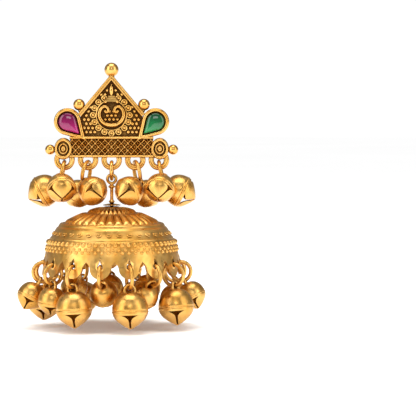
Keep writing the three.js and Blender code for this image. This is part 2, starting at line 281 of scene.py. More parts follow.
def balls(centres, radius, rows=9, columns=16):
    """Spheres about the centres: latitude rows from pole to pole, longitude columns."""
    centres = np.atleast_2d(np.asarray(centres, float))
    radius = np.broadcast_to(np.asarray(radius, float), len(centres))
    latitude = np.linspace(0, math.pi, rows)[:, None]
    longitude = np.arange(columns)[None] * TURN / columns
    unit = np.stack([
        np.sin(latitude) * np.cos(longitude), np.sin(latitude) * np.sin(longitude),
        np.cos(latitude) + 0 * longitude], -1)
    return centres[:, None, None] + radius[:, None, None, None] * unit


def tube(path, radius, sides=10, closed=False, flat=1.0):
    """A round section carried along a path that lies near a plane of constant Y.

    At each point the section is radius * (cos a * side + flat * sin a * Y), where side is the
    direction square to both the path and Y. Open ends are closed on the path's end points.
    """
    path = np.asarray(path, float)
    ahead = np.roll(path, -1, 0) - np.roll(path, 1, 0) if closed else np.gradient(path, axis=0)
    side = np.cross(ahead, [0.0, 1.0, 0.0])
    side /= np.linalg.norm(side, axis=1, keepdims=True)
    angle = np.arange(sides) * TURN / sides
    radius = np.broadcast_to(np.asarray(radius, float), len(path))[:, None, None]
    depth = np.array([0.0, 1.0, 0.0]) * flat
    grid = path[:, None] + radius * (
        np.cos(angle)[None, :, None] * side[:, None] + np.sin(angle)[None, :, None] * depth)
    if closed:
        return grid
    ends = [np.repeat(path[k][None, None], sides, axis=1) for k in (0, -1)]
    return np.concatenate([ends[0], grid, ends[1]])


def plate(outline, back, front, bevel=0.12):
    """A closed flat plate: an outline in X and Z drawn to its middle on both faces."""
    outline = np.asarray(outline, float)
    middle = outline.mean(0)
    shrink = 1 - bevel / np.linalg.norm(outline - middle, axis=1).mean()
    rows = [(0, back), (1, back), (1, front + bevel), (shrink, front), (0, front)]
    return np.stack([
        np.column_stack([*(middle + scale * (outline - middle)).T, np.full(len(outline), y)])[:, [0, 2, 1]]
        for scale, y in rows])


def pear(side, grow, steps=72):
    """A pear in X and Z: a circle of radius + grow, with straight sides that meet at its tip."""
    centre, tip = np.array([PEAR_X, PEAR_Z]), np.array(PEAR_TIP)
    reach = tip - centre
    half = math.acos(PEAR_RADIUS / np.linalg.norm(reach))
    radius = PEAR_RADIUS + grow
    point = centre + unit(reach) * radius / math.cos(half)
    heading = math.atan2(reach[1], reach[0])
    arc = np.linspace(heading + half, heading - half + TURN, steps - 16)
    bow = centre + radius * np.stack([np.cos(arc), np.sin(arc)], -1)
    home, away = np.linspace(bow[-1], point, 9)[1:], np.linspace(point, bow[0], 9)[1:]
    return np.vstack([bow, home, away[:-1]]) * [side, 1]


# ------------------------------------------------------------------ finishes


def nodes_of(material):
    """The material's node tree, switched on, and its Principled shader."""
    material.use_nodes = True
    tree = material.node_tree
    shader = tree.nodes["Principled BSDF"]
    return tree, shader


def link(tree, source, target):
    """Joins an output socket to an input socket."""
    tree.links.new(source, target)


def noise(tree, scale, detail=3.0):
    """A noise pattern on Object coordinates, with its scale in waves a metre."""
    place = tree.nodes.new("ShaderNodeTexCoord")
    pattern = tree.nodes.new("ShaderNodeTexNoise")
    pattern.inputs["Scale"].default_value = scale
    pattern.inputs["Detail"].default_value = detail
    link(tree, place.outputs["Object"], pattern.inputs["Vector"])
    return pattern.outputs["Fac"]


def ramp(tree, value, low, high, first, last):
    """Maps value from low..high onto first..last, clamped."""
    node = tree.nodes.new("ShaderNodeMapRange")
    node.interpolation_type = "SMOOTHSTEP"
    link(tree, value, node.inputs["Value"])
    for name, number in zip(("From Min", "From Max", "To Min", "To Max"), (low, high, first, last)):
        node.inputs[name].default_value = number
    return node.outputs["Result"]


def blend_colours(tree, factor, first, second):
    """Mixes two colours, given as plain colours or as sockets."""
    node = tree.nodes.new("ShaderNodeMix")
    node.data_type = "RGBA"
    link(tree, factor, node.inputs["Factor"])
    for socket, colour in ((node.inputs["A"], first), (node.inputs["B"], second)):
        if isinstance(colour, bpy.types.NodeSocket):
            link(tree, colour, socket)
        else:
            socket.default_value = (*colour, 1.0)
    return node.outputs["Result"]


def gold(name, reach, dirt, rough, grain):
    """Gold plate: bright on the open faces, brown where the surface is hemmed in within reach.

    dirt is the openness below which the patina is whole, rough the roughness of the bright metal,
    and grain the height of the fine hammering.
    """
    colours = bpy.context.scene.jhumka_colours
    material = bpy.data.materials.new(name)
    tree, shader = nodes_of(material)
    shader.inputs["Metallic"].default_value = 1.0
    openness = tree.nodes.new("ShaderNodeAmbientOcclusion")
    openness.samples = 8
    openness.inputs["Distance"].default_value = reach * MM
    clean = ramp(tree, openness.outputs["AO"], dirt, dirt + 0.42, 0.0, 1.0)
    warm = tuple(c * f for c, f in zip(colours.gold, (0.86, 0.74, 0.5)))
    cloudy = ramp(tree, noise(tree, 260.0), 0.35, 0.7, 0.0, 1.0)
    metal = blend_colours(tree, cloudy, tuple(colours.gold), warm)
    link(tree, blend_colours(tree, clean, tuple(colours.patina), metal), shader.inputs["Base Color"])
    smudge = ramp(tree, noise(tree, 900.0, 5.0), 0.3, 0.75, rough * 0.8, rough * 1.35)
    link(tree, smudge, shader.inputs["Roughness"])
    bump = tree.nodes.new("ShaderNodeBump")
    bump.inputs["Strength"].default_value = 0.5
    bump.inputs["Distance"].default_value = grain * MM
    link(tree, noise(tree, 700.0, 4.0), bump.inputs["Height"])
    link(tree, bump.outputs["Normal"], shader.inputs["Normal"])
    return material


def cabochon_glass(name, colour, painted_glow):
    """Foiled glass: deep colour in the middle, with a painted glow that brightens it towards its lower edge."""
    material = bpy.data.materials.new(name)
    tree, shader = nodes_of(material)
    # Painted glow: a share per point, larger towards the lower edge, mixes the brighter colour into the base
    # colour.
    depth = tree.nodes.new("ShaderNodeAttribute")
    depth.attribute_name = "painted_glow"
    veil = ramp(tree, noise(tree, 500.0), 0.3, 0.8, -0.08, 0.08)
    total = tree.nodes.new("ShaderNodeMath")
    link(tree, depth.outputs["Fac"], total.inputs[0])
    link(tree, veil, total.inputs[1])
    link(tree, blend_colours(tree, total.outputs[0], colour, painted_glow), shader.inputs["Base Color"])
    shader.inputs["Roughness"].default_value = 0.06
    shader.inputs["Coat Weight"].default_value = 0.4
    shader.inputs["Coat Roughness"].default_value = 0.02
    shader.inputs["IOR"].default_value = 1.52
    return material


# ------------------------------------------------------------------ bells and rings


def bell_heap(radius, spin, slit):
    """A hollow bell standing on Z, its seam at height 0.

    The upper half and the seam's lip are a closed wall carried round Z. Below it three petals are
    surfaces of height v and width u, where the width leaves a slit that opens near the seam.
    """
    heap = Heap()
    outside = smooth_line([
        [0.0, 1.075], [0.2, 1.07], [0.36, 1.05], [0.6, 0.94], [0.78, 0.76], [0.89, 0.56], [0.955, 0.34],
        [0.978, 0.16]], 22)
    lip = [[0.98, 0.08], [0.965, 0.05], [0.995, 0.03], [1.005, 0.0], [0.995, -0.03], [0.962, -0.05],
           [0.965, -0.08], [0.945, -0.14], [0.925, -0.185]]
    inside = [[0.85, -0.19], [0.9, 0.0], [0.87, 0.3], [0.7, 0.72], [0.4, 0.93], [0.0, 0.97]]
    heap.grid(turned(np.vstack([outside, lip, inside]) * radius, 44), around=True)

    lower = smooth_line([[0.925, -0.185], [0.8, -0.37], [0.6, -0.55], [0.33, -0.75], [0.12, -0.88],
                         [0.03, -0.93]], 18)
    fall = np.clip((-0.185 - lower[:, 1]) / 0.13, 0, None)
    opening = slit + (0.46 - slit) * np.exp(-fall**1.25)
    half = math.pi / 3 - np.minimum(opening / np.maximum(lower[:, 0], 0.03), 0.95)
    u = np.linspace(-1, 1, 15)
    share = np.linspace(0, 1, len(lower))[:, None]
    puff = 0.05 * (1 - u**2) * np.sin(math.pi * share) + 0.015 * np.abs(u)**6
    for petal in range(3):
        angle = math.radians(spin) + petal * TURN / 3 + half[:, None] * u
        sheets = []
        for inset, rise in ((0.0, 0.0), (0.07, 0.035)):
            reach = np.maximum(lower[:, :1] - inset + puff, 0.012)
            height = np.broadcast_to(lower[:, 1:] + rise, angle.shape)
            sheets.append(np.stack([reach * np.sin(angle), -reach * np.cos(angle), height], -1) * radius)
        heap.slab(*sheets)

    eye = ring(EYE_RADIUS, EYE_WIRE, 32, 12, 1.35)
    heap.grid(eye + [0, 0, BELL_TOP * radius + EYE_LIFT], around=True, along=True)
    return heap


def bell_drop(radius):
    """From the middle of the ring's wire to the bell's seam."""
    return BELL_TOP * radius + EYE_LIFT + EYE_RADIUS - EYE_WIRE - EYE_PLAY - RING_WIRE


def unit(vector):
    """The vector at length 1."""
    vector = np.asarray(vector, float)
    return vector / np.linalg.norm(vector)


def hang(hoop, around, tip, radius, facing, past, slit):
    """A bell on a hoop, around degrees from the hoop's foot, its tip along tip.

    One petal's middle lies past degrees from the heading facing.
    """
    middle, down, across, reach = hoop
    angle = math.radians(around)
    spoke = math.cos(angle) * down + math.sin(angle) * across
    up = -unit(tip)
    wire_way = np.cross(spoke, np.cross(down, across))
    hole_way = unit(wire_way - wire_way.dot(up) * up)
    seam = middle + reach * spoke - up * bell_drop(radius)
    basis = np.stack([np.cross(hole_way, up), hole_way, up])
    spin = past + math.degrees(math.atan2(basis[0].dot(facing), -basis[1].dot(facing)))
    return bell_heap(radius, spin, slit).moved(basis, seam), basis, seam


def hoop_heap(hoop):
    """A jump ring: a torus in the plane of the hoop's down and across directions."""
    middle, down, across, reach = hoop
    heap = Heap()
    heap.grid(ring(reach, RING_WIRE, 44, 14), around=True, along=True)
    return heap.moved(np.stack([across, np.cross(down, across), -down]), middle)


def square_to(vector, down):
    """The part of vector square to down, at length 1."""
    return unit(vector - vector.dot(down) * down)


def upper_hoop(loop, radius, lean, turn):
    """Where a jump ring of the upper row hangs in its loop."""
    lean, turn = math.radians(lean), math.radians(turn)
    down = np.array([math.sin(lean), 0, -math.cos(lean)])
    across = square_to(np.array([math.sin(turn), -math.cos(turn), 0]), down)
    start = np.array([loop * LOOP_PITCH, LOOP_Y, LOOP_Z - LOOP_INNER + RING_LIFT + RING_WIRE])
    return start + down * radius, down, across, radius


def azimuth(hole):
    """The direction of a hole round the dome, in radians from the front."""
    return math.radians(FIRST_HOLE + hole * 360 / HOLES)


def fringe_hoop(hole, radius, lean):
    """Where a ring of the fringe hangs in its hole."""
    around, lean = azimuth(hole), math.radians(lean)
    outward = np.array([math.sin(around), -math.cos(around), 0])
    down = math.sin(lean) * outward - math.cos(lean) * np.array([0, 0, 1.0])
    start = (HOLE_RADIUS - DOME_WALL / 2) * outward
    start = start + [0, LOOP_Y, CROWN_Z + HOLE_FOOT_Z + RING_WIRE + RING_LIFT]
    return start + down * radius, down, square_to(outward, down), radius


# ------------------------------------------------------------------ operators


class JHUMKA_OT_plaque(bpy.types.Operator):
    """Makes the plaque with its relief, settings, loops and post"""

    bl_idname = "jhumka.plaque"
    bl_label = "Plaque"

    def execute(self, context):
        metal = gold("antique gold of the plaque", 1.0, 0.36, 0.24, 0.03)
        field = gold("dark gold of the field", 1.6, 0.66, 0.3, 0.06)
        sizes = context.scene.jhumka_sizes
        parts = {
            "plaque_plate": self.plate_heap(),
            "lattice_band": self.band_heap(sizes.lattice_height),
            "gable_rails": self.rails_heap(),
            "balls_and_knobs": self.balls_heap(),
            "pear_settings": self.settings_heap(),
            "roundels": self.roundels_heap(),
            "field_granules": self.granules_heap(),
            "scroll": self.scroll_heap(),
            "halo": self.halo_heap(),
            "fixed_loops": self.loops_heap(),
        }
        for name, heap in parts.items():
            finish = field if name == "plaque_plate" else metal
            make(name, heap, finish, "plaque", ["plaque"])
        return {"FINISHED"}

    def plate_heap(self):
        """The house: half width w(z) = 6.9 below the eaves, then falling straight to the apex."""
        heap = Heap()
        z = np.concatenate([np.linspace(BAND_TOP - 0.1, EAVES_Z, 8), np.linspace(EAVES_Z, APEX_Z, 12)[1:]])
        half = HOUSE_HALF * np.clip((APEX_Z - z) / (APEX_Z - EAVES_Z), 0, 1)
        x = half[:, None] * np.linspace(-1, 1, 21)
        height = np.broadcast_to(z[:, None], x.shape)
        sheets = [np.stack([x, np.full(x.shape, y), height], -1) for y in (-FIELD_THICK, 0.0)]
        heap.slab(*sheets)
        post = [[0, 11], [0.28, 10.93], [0.42, 10.7], [0.45, 10.3], [0.45, 9.3], [0.34, 9.15], [0.34, 8.85],
                [0.45, 8.7], [0.45, 0.5], [0.6, 0.25], [1.2, 0.15], [1.3, -0.1], [0, -0.1]]
        heap.grid(turned(post, 24)[..., [0, 2, 1]], around=True)
        heap.grid(plate([[-0.5, 8], [0.5, 8], [0.5, 9.4], [-0.5, 9.4]], -0.06, -PLATE_THICK), around=True)
        return heap

    def band_heap(self, height):
        """The band: raised lines where x/p + z/q or x/p - z/q is whole, and a bud in each diamond."""
        heap = Heap()
        x, z = np.meshgrid(np.linspace(-BAND_HALF, BAND_HALF, 250), np.linspace(BAND_FOOT, BAND_TOP, 56))
        a, b = x / 1.45 + (z + 7) / 1.56, x / 1.45 - (z + 7) / 1.56
        near_a, near_b = np.abs(a - np.round(a)), np.abs(b - np.round(b))
        line = np.exp(-(np.minimum(near_a, near_b) / 0.16) ** 2)
        bud = 0.8 * np.clip(1 - np.maximum(0.5 - near_a, 0.5 - near_b) / 0.26, 0, 1)
        inside = np.clip((1.85 - np.abs(z + 7)) / 0.12, 0, 1)
        front = -PLATE_THICK - height * np.maximum(line, bud) * inside
        heap.slab(np.stack([x, front, z], -1), np.stack([x, 0 * x - 0.02, z], -1))
        for level in (BAND_TOP + 0.05, BAND_FOOT - 0.05):
            x = np.linspace(-BAND_HALF - 0.1, BAND_HALF + 0.1, 30)
            heap.grid(tube(np.stack([x, 0 * x - 1.35, 0 * x + level], -1), 0.28, 10), around=True)
        return heap

    def rails_heap(self):
        """Each bar of the gable: a flat bar under two round wires side by side."""
        heap = Heap()
        for side in (-1, 1):
            foot, top = np.array([side * HOUSE_HALF, EAVES_Z]), np.array([0.0, APEX_Z])
            way = unit(top - foot)
            square = np.array([-way[1], way[0]])
            foot, top = foot - 0.3 * way, top + 0.3 * way
            corners = [foot - 0.42 * square, foot + 0.42 * square, top + 0.42 * square, top - 0.42 * square]
            heap.grid(plate(corners, -0.05, -1.35), around=True)
            for offset in (-0.22, 0.22):
                line = np.linspace(foot + offset * square, top + offset * square, 24)
                path = np.stack([line[:, 0], 0 * line[:, 0] - 1.38, line[:, 1]], -1)
                heap.grid(tube(path, 0.25, 10), around=True)
        return heap

    def balls_heap(self):
        """The three balls and two knobs, each on a narrow neck of its own."""
        heap = Heap()
        for x, z, radius in ((0, 10.13, 1.56), (7.2, 2.38, 1.3), (-7.2, 2.38, 1.3)):
            heap.grid(balls([x, LOOP_Y, z], radius, 20, 32), around=True)
            heap.grid(balls([x * 0.955, LOOP_Y, z - radius * 0.98], radius * 0.42, 12, 20), around=True)
        for side in (-1, 1):
            heap.grid(balls([side * 13.65, LOOP_Y, -7.6], 1.13, 18, 28), around=True)
            x = side * np.linspace(12.2, 13.0, 8)
            swell = 0.42 + 0.16 * np.cos(np.linspace(0, TURN, 8))
            heap.grid(tube(np.stack([x, 0 * x + LOOP_Y, 0 * x - 7.6], -1), swell, 16), around=True)
        return heap

    def settings_heap(self):
        """A pear rim with a rounded lip, and the sunk floor under the stone."""
        heap = Heap()
        section = [(0.85, -0.08), (0.85, -1.25), (0.8, -1.48), (0.62, -1.68), (0.42, -1.74), (0.22, -1.68),
                   (0.06, -1.5), (0.0, -1.3), (0.0, -0.62), (0.0, -0.08)]
        for side in (-1, 1):
            rows = [np.insert(pear(side, grow), 1, y, axis=1) for grow, y in section]
            heap.grid(np.stack(rows), around=True, along=True)
            heap.grid(plate(pear(side, 0.05), -0.1, -0.6), around=True)
        return heap

    def roundels_heap(self):
        """An ellipse turned from a profile: a bead, a ring and a puffed outer roll."""
        heap = Heap()
        profile = smooth_line([
            [0, 1.62], [0.06, 1.6], [0.1, 1.72], [0.2, 1.72], [0.27, 1.45], [0.32, 1.35], [0.4, 1.6],
            [0.48, 1.6], [0.56, 1.25], [0.62, 1.25], [0.7, 1.6], [0.82, 1.74], [0.93, 1.62], [1.0, 1.2]], 60)
        profile = np.vstack([profile, [[1.0, 0.05], [0.0, 0.05]]])
        for side in (-1, 1):
            x, y, height = np.moveaxis(turned(profile, 48), -1, 0)
            heap.grid(np.stack([side * 10.7 + 2.0 * x, -height, -7.4 + 2.42 * y], -1), around=True)
        return heap

    def granules_heap(self):
        """Rows of seeds over the house's field, left out under the scroll and the halo."""
        heap = Heap()
        x, z = np.meshgrid(np.arange(-7, 8) * 0.93, np.arange(-5, 9) * 0.93)
        x = x + 0.465 * (np.round(z / 0.93) % 2)
        x, z = x.ravel(), z.ravel()
        half = HOUSE_HALF * np.clip((APEX_Z - z) / (APEX_Z - EAVES_Z), 0, 1)
        far = np.hypot(x, z - 0.1)
        clear = (np.abs(x) < half - 0.75) & ((far > 4.75) | (far < 1.75)) & (z > BAND_TOP + 0.5)
        clear &= ~((np.abs(x) < 0.75) & (z > 4))
        spots = np.stack([x, 0 * x - FIELD_THICK - 0.05, z], -1)[clear]
        heap.grid(balls(spots, 0.4, 8, 14), around=True)
        return heap

    def scroll_heap(self):
        """A crescent of round wire whose ends curl inwards, a bud above it and a stepped foot for it."""
        heap = Heap()
        points = [[0, -2.2], [1.1, -2.0], [2.05, -1.35], [2.6, -0.4], [2.7, 0.5], [2.4, 1.35], [1.8, 1.9],
                  [1.15, 1.9], [0.72, 1.4], [0.8, 0.85], [1.25, 0.75], [1.5, 1.1]]
        for side in (-1, 1):
            line = smooth_line(points, 64) * [side, 1]
            path = np.stack([line[:, 0], 0 * line[:, 0] - 1.42, line[:, 1]], -1)
            heap.grid(tube(path, np.linspace(0.42, 0.27, 64), 12), around=True)
        z = np.linspace(4.4, 6.87, 20)
        swell = 0.46 * np.sin(np.linspace(0.25, math.pi, 20)) ** 0.8 + 0.02
        heap.grid(tube(np.stack([0 * z, 0 * z - 1.3, z], -1), swell, 14), around=True)
        for half, low, high, front in ((1.45, 3.0, 3.5, -1.75), (1.1, 3.5, 3.95, -1.65), (0.75, 3.95, 4.4, -1.55)):
            corners = [[-half, low], [half, low], [half, high], [-half, high]]
            heap.grid(plate(corners, -0.1, front), around=True)
        for x in (-1.3, 1.3):
            heap.grid(balls([x, -1.5, 3.0], 0.32, 9, 14), around=True)
        return heap

    def halo_heap(self):
        """Cups round the scroll: at each sixteenth of a turn, but for the top, a ring round a bead."""
        heap = Heap()
        around = np.radians(np.arange(1, 16) * 22.5)
        spots = np.stack([4.05 * np.sin(around), 0 * around - 1.1, 0.1 + 4.05 * np.cos(around)], -1)
        heap.grid(spots[:, None, None] + ring(0.55, 0.17, 24, 8), around=True, along=True)
        heap.grid(balls(spots, 0.36, 9, 14), around=True)
        arc = np.radians(np.linspace(24, 336, 90))
        path = np.stack([3.35 * np.sin(arc), 0 * arc - 1.25, 0.1 + 3.35 * np.cos(arc)], -1)
        heap.grid(tube(path, 0.13, 8), around=True)
        return heap

    def loops_heap(self):
        """Five fixed loops of flattened wire, with a groove along the middle of the outer side."""
        heap = Heap()
        middle, wire = (LOOP_OUTER + LOOP_INNER) / 2, (LOOP_OUTER - LOOP_INNER) / 2
        around = np.arange(48)[:, None] * TURN / 48
        section = np.arange(24)[None] * TURN / 24
        front = np.minimum(np.abs(section - TURN / 4), np.abs(section - 3 * TURN / 4))
        thick = wire * (1 - 0.3 * np.exp(-(front / 0.3) ** 2))
        out = middle + thick * np.cos(section)
        depth = 0.85 * thick * np.sin(section) + 0 * around
        loop = np.stack([out * np.sin(around), depth, out * np.cos(around)], -1)
        places = np.array([[step * LOOP_PITCH, LOOP_Y, LOOP_Z] for step in range(-2, 3)])
        heap.grid(places[:, None, None] + loop, around=True, along=True)
        return heap


class JHUMKA_OT_stones(bpy.types.Operator):
    """Makes the ruby and the emerald cabochons"""

    bl_idname = "jhumka.stones"
    bl_label = "Stones"

    def execute(self, context):
        colours = context.scene.jhumka_colours
        # Each stone's third colour is its painted glow, the brighter colour painted towards its lower edge.
        ruby = cabochon_glass("ruby glass", tuple(colours.ruby), (0.42, 0.01, 0.14))
        emerald = cabochon_glass("emerald glass", tuple(colours.emerald), (0.01, 0.26, 0.07))
        self.stone("ruby_cabochon", -1, ruby, "ruby_glass", "ruby_stone")
        self.stone("emerald_cabochon", 1, emerald, "emerald_glass", "emerald_stone")
        return {"FINISHED"}

    def stone(self, name, side, glass, slot, node):
        """A pear outline drawn in by s: front y = -1.4 - 0.72 sqrt(1 - s^2), back y = -0.8."""
        heap = Heap()
        edge = pear(side, -STONE_GAP)
        middle = np.array([side * (PEAR_X - 0.25), PEAR_Z - 0.3])
        share = np.sin(np.linspace(0, math.pi / 2, 16))
        rows = [(0.0, -0.8), (1.0, -0.8)]
        rows += [(s, -1.4 - 0.72 * math.sqrt(max(1 - s * s, 0))) for s in share[::-1]]
        heap.grid(np.stack([np.insert(middle + s * (edge - middle), 1, y, axis=1) for s, y in rows]), around=True)
        piece = make(name, heap, glass, "plaque", [node], 60)
        # Painted glow: the share of the brighter colour grows towards the stone's lower edge.
        height = np.array([vertex.co.z for vertex in piece.data.vertices]) / MM
        painted_glow = np.clip(0.42 - (height - PEAR_Z) / 4.2, 0, 1) ** 1.6
        piece.data.attributes.new("painted_glow", "FLOAT", "POINT").data.foreach_set("value", painted_glow)


class JHUMKA_OT_link(bpy.types.Operator):
    """Makes the link ring and the stem that the dome hangs by"""

    bl_idname = "jhumka.link"
    bl_label = "Link and stem"

    def execute(self, context):
        satin = gold("satin gold of the link", 0.9, 0.35, 0.2, 0.03)
        antique = gold("antique gold of the stem", 0.9, 0.4, 0.2, 0.03)
        loop = Heap()
        hoop = ring(LINK_OUTER - LINK_WIRE, LINK_WIRE, 56, 18)[..., [1, 0, 2]]
        loop.grid(hoop + [0, LOOP_Y, LINK_Z], around=True, along=True)
        make("hanger_link", loop, satin, "link", ["link_ring"])

        stem = Heap()
        stem.grid(ring(STEM_EYE, STEM_WIRE, 40, 14) + [0, LOOP_Y, EYE_Z], around=True, along=True)
        top, crown = EYE_Z - STEM_EYE, CROWN_Z
        profile = smooth_line([
            [0, top], [0.38, top - 0.02], [0.4, top - 0.35], [0.7, top - 0.6], [0.75, top - 0.78],
            [0.68, top - 0.95], [0.4, top - 1.2], [0.38, top - 2.0], [0.38, crown + 1.6], [0.62, crown + 1.2],
            [0.68, crown + 1.0], [0.5, crown + 0.8]], 70)
        below = [[0.38, crown + 0.6], [0.38, crown - 0.9], [1.2, crown - 0.9], [1.1, crown - 1.2],
                 [0.6, crown - 1.45], [0, crown - 1.5]]
        stem.grid(turned(np.vstack([profile, below]), 28) + [0, LOOP_Y, 0], around=True)
        flower = turned([[0, 0.62], [0.7, 0.62], [1.3, 0.5], [1.75, 0.38], [1.85, 0.27], [1.7, 0.2], [0, 0.2]], 64)
        petals = 1 + 0.09 * np.cos(8 * np.arange(64) * TURN / 64)
        flower[..., :2] *= petals[None, :, None]
        stem.grid(flower + [0, LOOP_Y, crown], around=True)
        make("hanger_stem", stem, antique, "drop", ["dome_stem"])
        return {"FINISHED"}


class JHUMKA_OT_dome(bpy.types.Operator):
    """Makes the ribbed dome, its beaded rows and its lobed skirt"""

    bl_idname = "jhumka.dome"
    bl_label = "Dome"

    def execute(self, context):
        metal = gold("satin gold of the dome", 0.9, 0.28, 0.34, 0.06)
        sizes = context.scene.jhumka_sizes
        parts = {
            "dome_shell": self.shell_heap(sizes.rib_height),
            "dome_dots": self.dots_heap(),
            "dome_beads": self.beads_heap(sizes.bead_radius, sizes.bead_count),
            "dome_skirt": self.skirt_heap(),
        }
        for name, heap in parts.items():
            make(name, heap, metal, "drop", ["dome"])
        return {"FINISHED"}

    def lay(self, radius, height, angle):
        """Radius, height below the crown and angle from the front, as points."""
        x, y = radius * np.sin(angle), LOOP_Y - radius * np.cos(angle)
        return np.stack([x, y, CROWN_Z + height + 0 * x], -1)

    def shell_heap(self, rib):
        """The wall down to the skirt, its profile carried round Z and moved out by the relief.

        The ribs stand |cos(n t / 2)| ** 0.6 high within each tier, and each tier's ends are round.
        """
        heap = Heap()
        profile = DOME_OUTSIDE.copy()
        profile[-3] = [np.interp(-SKIRT_TOP, -profile[:, 1], profile[:, 0]), SKIRT_TOP]
        line = smooth_line(profile[:-2], 150)
        slope = np.gradient(line, axis=0)
        normal = np.stack([-slope[:, 1], slope[:, 0]], -1)
        normal /= np.linalg.norm(normal, axis=1, keepdims=True)
        angle = np.arange(576) * TURN / 576
        r = line[:, :1]
        ribs = np.abs(np.cos(RIBS * angle / 2)) ** 0.7
        tiers = 0 * r + 0 * angle
        for low, high in ((2.2, 5.6), (6.0, 10.7)):
            way = np.clip((r - low) / (high - low), 0, 1)
            rounded = np.clip(np.minimum(way, 1 - way) * (high - low) / 0.7, 0, 1)
            tiers = np.maximum(tiers, ribs * np.sqrt(rounded))
        sunk = np.clip((r - 1.6) / 0.4, 0, 1) * np.clip((11.1 - r) / 0.3, 0, 1)
        relief = rib * (tiers - 1) * sunk + 0.1 * np.exp(-((r - 11.4) / 0.22) ** 2)
        relief = relief - 0.14 * np.exp(-((r - 12.0) / 0.2) ** 2)
        relief = relief + 0.1 * np.exp(-((line[:, 1:] + 6.85) / 0.12) ** 2)
        relief = relief * np.clip((r - 1.0) / 0.5, 0, 1)
        outer = self.lay(r + normal[:, :1] * relief, line[:, 1:] + normal[:, 1:] * relief, angle)
        inner = self.lay(r - normal[:, :1] * DOME_WALL, line[:, 1:] - normal[:, 1:] * DOME_WALL, angle)
        heap.slab(outer, inner, around=True)
        return heap

    def dots_heap(self):
        """A row of rings, each round a small bump, tipped to lie on the wall."""
        heap = Heap()
        lean = math.radians(-52)
        tip = np.array([[1, 0, 0], [0, math.cos(lean), math.sin(lean)], [0, -math.sin(lean), math.cos(lean)]])
        radius = np.interp(5.7, -DOME_OUTSIDE[:, 1], DOME_OUTSIDE[:, 0])
        for step in range(DOTS):
            angle = step * TURN / DOTS
            round_z = np.array([[math.cos(angle), math.sin(angle), 0], [-math.sin(angle), math.cos(angle), 0],
                                [0, 0, 1]])
            centre = self.lay(radius, -5.7, angle)
            heap.grid(ring(0.52, 0.14, 20, 8) @ tip @ round_z + centre, around=True, along=True)
            heap.grid(balls([0, 0, 0], 0.24, 7, 10) @ round_z + centre, around=True)
        return heap

    def beads_heap(self, size, count):
        """Three rows of beads: a row of large ones between two rows of smaller ones."""
        heap = Heap()
        for level, radius, number, shift in ((-7.85, size, count, 0), (-8.85, 0.7 * size, count, 0.5),
                                             (-9.5, 0.7 * size, count, 0)):
            angle = (np.arange(number) + shift) * TURN / number
            reach = np.interp(-level, -DOME_OUTSIDE[:, 1], DOME_OUTSIDE[:, 0])
            spots = self.lay(reach - 0.2 * radius + 0 * angle, level + 0 * angle, angle)
            heap.grid(balls(spots, radius, 8, 14), around=True)
        return heap

    def skirt_heap(self):
        """Each lobe is a sheet drawn from its teardrop hole (v = 0) out to its own edge (v = 1).

        Both outlines are read by the angle u about the hole's middle, so a point is
        hole(u) + v * (edge(u) - hole(u)), bent round the dome.
        """
        heap = Heap()
        u = np.linspace(-math.pi, math.pi, 97)[:-1]
        hole, edge = self.by_angle(self.teardrop(), u), self.by_angle(self.lobe(), u)
        v = np.linspace(0, 1, 15)[:, None, None]
        flat = hole + v * (edge - hole)
        across, height = flat[..., 0], flat[..., 1]
        reach = np.interp(-height, -DOME_OUTSIDE[:, 1], DOME_OUTSIDE[:, 0])
        lip = 0.14 * np.exp(-((v[..., 0] - 0.03) / 0.06) ** 2)
        for step in range(HOLES):
            angle = azimuth(step) + across / 15.6
            heap.slab(self.lay(reach + lip, height, angle), self.lay(reach - DOME_WALL, height, angle), around=True)
        return heap

    def by_angle(self, outline, u):
        """Points of an outline at angles u about the hole's middle."""
        outline = outline - [0, HOLE_MIDDLE]
        angle = np.arctan2(outline[:, 1], outline[:, 0])
        order = np.argsort(angle)
        x = np.interp(u, angle[order], outline[order, 0], period=TURN)
        z = np.interp(u, angle[order], outline[order, 1], period=TURN)
        return np.stack([x, z + HOLE_MIDDLE], -1)

    def teardrop(self):
        """A half circle below, with two straight sides that meet above."""
        half = HOLE_WIDE / 2
        arc = np.linspace(-math.pi, 0, 40)
        low = np.stack([half * np.cos(arc), HOLE_FOOT_Z + half + half * np.sin(arc)], -1)
        side = np.linspace(low[-1], [0, HOLE_TOP_Z], 40)
        return np.vstack([low, side, side[::-1] * [-1, 1]])

    def lobe(self):
        """A lobe of the skirt: straight above, then an arch down to a round foot."""
        half = math.pi * 15.6 / HOLES
        arc = np.linspace(-math.pi / 2, 0, 40)
        foot = np.stack([2.35 * np.cos(arc), -12.75 + 2.35 * np.sin(arc)], -1)
        t = np.linspace(0, 1, 40)[:, None]
        arch = (1 - t)**2 * [2.35, -12.75] + 2 * t * (1 - t) * [half - 0.62, -11.9] + t**2 * [half, -11.5]
        side = np.linspace([half, -11.5], [half, SKIRT_TOP], 30)
        top = np.linspace([half, SKIRT_TOP], [0, SKIRT_TOP], 40)
        right = np.vstack([foot, arch, side, top])
        return np.vstack([right, right[::-1] * [-1, 1]])


class JHUMKA_OT_upper_row(bpy.types.Operator):
    """Makes the jump rings and bells that hang from the plaque"""

    bl_idname = "jhumka.upper_row"
    bl_label = "Upper row of bells"

    def execute(self, context):
        metal = gold("satin gold of the bells", 1.0, 0.2, 0.33, 0.06)
        hoops = {name: upper_hoop(*row) for name, row in UPPER_RINGS.items()}
        for name, hoop in hoops.items():
            make(f"wire_{name}", hoop_heap(hoop), metal, "plaque", [name])
        for name, (hoop, *place) in UPPER_BELLS.items():
            heap, _, _ = hang(hoops[hoop], *place, context.scene.jhumka_sizes.slit_width)
            make(f"cut_{name}", heap, metal, "plaque", [name], 60)
        return {"FINISHED"}


